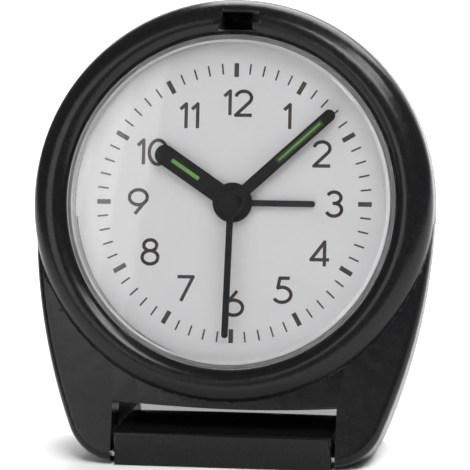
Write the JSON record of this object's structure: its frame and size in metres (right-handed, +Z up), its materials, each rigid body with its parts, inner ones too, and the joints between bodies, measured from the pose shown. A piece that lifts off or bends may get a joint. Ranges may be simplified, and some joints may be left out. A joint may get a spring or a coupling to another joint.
{
  "type": "folding travel alarm clock",
  "caption": "Folding travel alarm clock with a round dial, a rounded case on two ears, and a hinged cover that folds back as its stand.",
  "frame": {"origin": "on the table, straight below the middle of the cover's hinge", "axes": "+Z up, +X to the viewer's right, the dial looks towards -Y and leans back"},
  "size_m": [0.0732, 0.0818, 0.0808],
  "materials": {
    "case_black": "glossy black",
    "rear_black": "satin black",
    "steel": "plated",
    "lens_clear": "clear acrylic",
    "dial_white": "printed off-white",
    "hand_grey": "satin",
    "hand_dark": "satin",
    "luminous": "luminous",
    "plate_plastic": "natural",
    "wheel_white": "natural",
    "rotor_magnet": "sintered",
    "lamination": "rolled",
    "copper_wire": "enamelled",
    "board_green": "solder mask",
    "buzzer_brass": "thin disc",
    "knob_black": "satin",
    "switch_grey": "satin",
    "cell_sleeve": "plain sleeve",
    "nickel": "nickel-plated",
    "cover_black": "glossy black"
  },
  "bodies": {
    "case": {"front_shell": "case_black", "rear_shell": "rear_black", "case_screws": "steel", "lens": "lens_clear", "dial": "dial_white", "movement_front_plate": "plate_plastic", "movement_rear_plate": "plate_plastic", "movement_screws": "steel", "stator": "lamination", "coil": "copper_wire", "circuit_board": "board_green", "buzzer": "buzzer_brass", "battery_tray": "rear_black", "battery": "cell_sleeve", "plus_contact": "nickel", "minus_contact": "nickel", "hinge_pins": "steel"},
    "second": {"second_wheel": "wheel_white", "second_hand": "hand_dark"},
    "third": {"third_wheel": "wheel_white"},
    "minute": {"minute_wheel": "wheel_white", "minute_hand": "hand_dark", "minute_hand_insert": "luminous"},
    "motion": {"motion_wheel": "wheel_white"},
    "hour": {"hour_wheel": "wheel_white", "hour_hand": "hand_dark", "hour_hand_insert": "luminous"},
    "alarm": {"alarm_wheel": "wheel_white", "alarm_hand": "hand_grey"},
    "step": {"step_wheel": "wheel_white"},
    "rotor": {"rotor": "rotor_magnet"},
    "time_knob": {"time_set_knob": "knob_black"},
    "alarm_knob": {"alarm_set_knob": "knob_black"},
    "switch": {"alarm_switch": "switch_grey"},
    "door": {"battery_door": "rear_black"},
    "cover": {"stand_cover": "cover_black"}
  },
  "joints": [
    {"name": "second_turn", "type": "hinge", "parent": "case", "child": "second", "pos_m": [0, 0.01459, 0.04508], "axis": [0, 0.9641, -0.2656], "continuous": true},
    {"name": "third_turn", "type": "hinge", "parent": "case", "child": "third", "pos_m": [-0.00958, 0.01366, 0.04171], "axis": [0, 0.9641, -0.2656], "continuous": true},
    {"name": "minute_turn", "type": "hinge", "parent": "case", "child": "minute", "pos_m": [0, 0.01459, 0.04508], "axis": [0, 0.9641, -0.2656], "continuous": true},
    {"name": "motion_turn", "type": "hinge", "parent": "case", "child": "motion", "pos_m": [0.00846, 0.01541, 0.04804], "axis": [0, 0.9641, -0.2656], "continuous": true},
    {"name": "hour_turn", "type": "hinge", "parent": "case", "child": "hour", "pos_m": [0, 0.01459, 0.04508], "axis": [0, 0.9641, -0.2656], "continuous": true},
    {"name": "step_turn", "type": "hinge", "parent": "case", "child": "step", "pos_m": [-0.00125, 0.01647, 0.05191], "axis": [0, 0.9641, -0.2656], "continuous": true},
    {"name": "rotor_turn", "type": "hinge", "parent": "case", "child": "rotor", "pos_m": [-0.00575, 0.0179, 0.05708], "axis": [0, 0.9641, -0.2656], "continuous": true},
    {"name": "time_set_turn", "type": "hinge", "parent": "case", "child": "time_knob", "pos_m": [0.01691, 0.01622, 0.05101], "axis": [0, 0.9641, -0.2656], "continuous": true},
    {"name": "alarm_turn", "type": "hinge", "parent": "case", "child": "alarm", "pos_m": [0, 0.01459, 0.04508], "axis": [0, 0.9641, -0.2656], "continuous": true},
    {"name": "alarm_set_turn", "type": "hinge", "parent": "case", "child": "alarm_knob", "pos_m": [0.00369, 0.01189, 0.03529], "axis": [0, 0.9641, -0.2656], "continuous": true},
    {"name": "cover_hinge", "type": "hinge", "parent": "case", "child": "cover", "pos_m": [0, 0, 0.0019], "axis": [1, 0, 0], "range_deg": [-285.4, 0]},
    {"name": "door_lift", "type": "slide", "parent": "case", "child": "door", "axis": [0, 0.9641, -0.2656], "range_m": [0, 0.008]},
    {"name": "switch_slide", "type": "slide", "parent": "case", "child": "switch", "axis": [1, 0, 0], "range_m": [0, 0.003]}
  ],
  "couplings": [
    {"joint": "rotor_turn", "follows": "second_turn", "ratio": 30},
    {"joint": "step_turn", "follows": "second_turn", "ratio": -5},
    {"joint": "third_turn", "follows": "second_turn", "ratio": -0.13333},
    {"joint": "minute_turn", "follows": "second_turn", "ratio": 0.016667},
    {"joint": "motion_turn", "follows": "second_turn", "ratio": -0.0055556},
    {"joint": "hour_turn", "follows": "second_turn", "ratio": 0.0013889},
    {"joint": "time_set_turn", "follows": "second_turn", "ratio": 0.016667},
    {"joint": "alarm_turn", "follows": "alarm_set_turn", "ratio": -0.5}
  ]
}
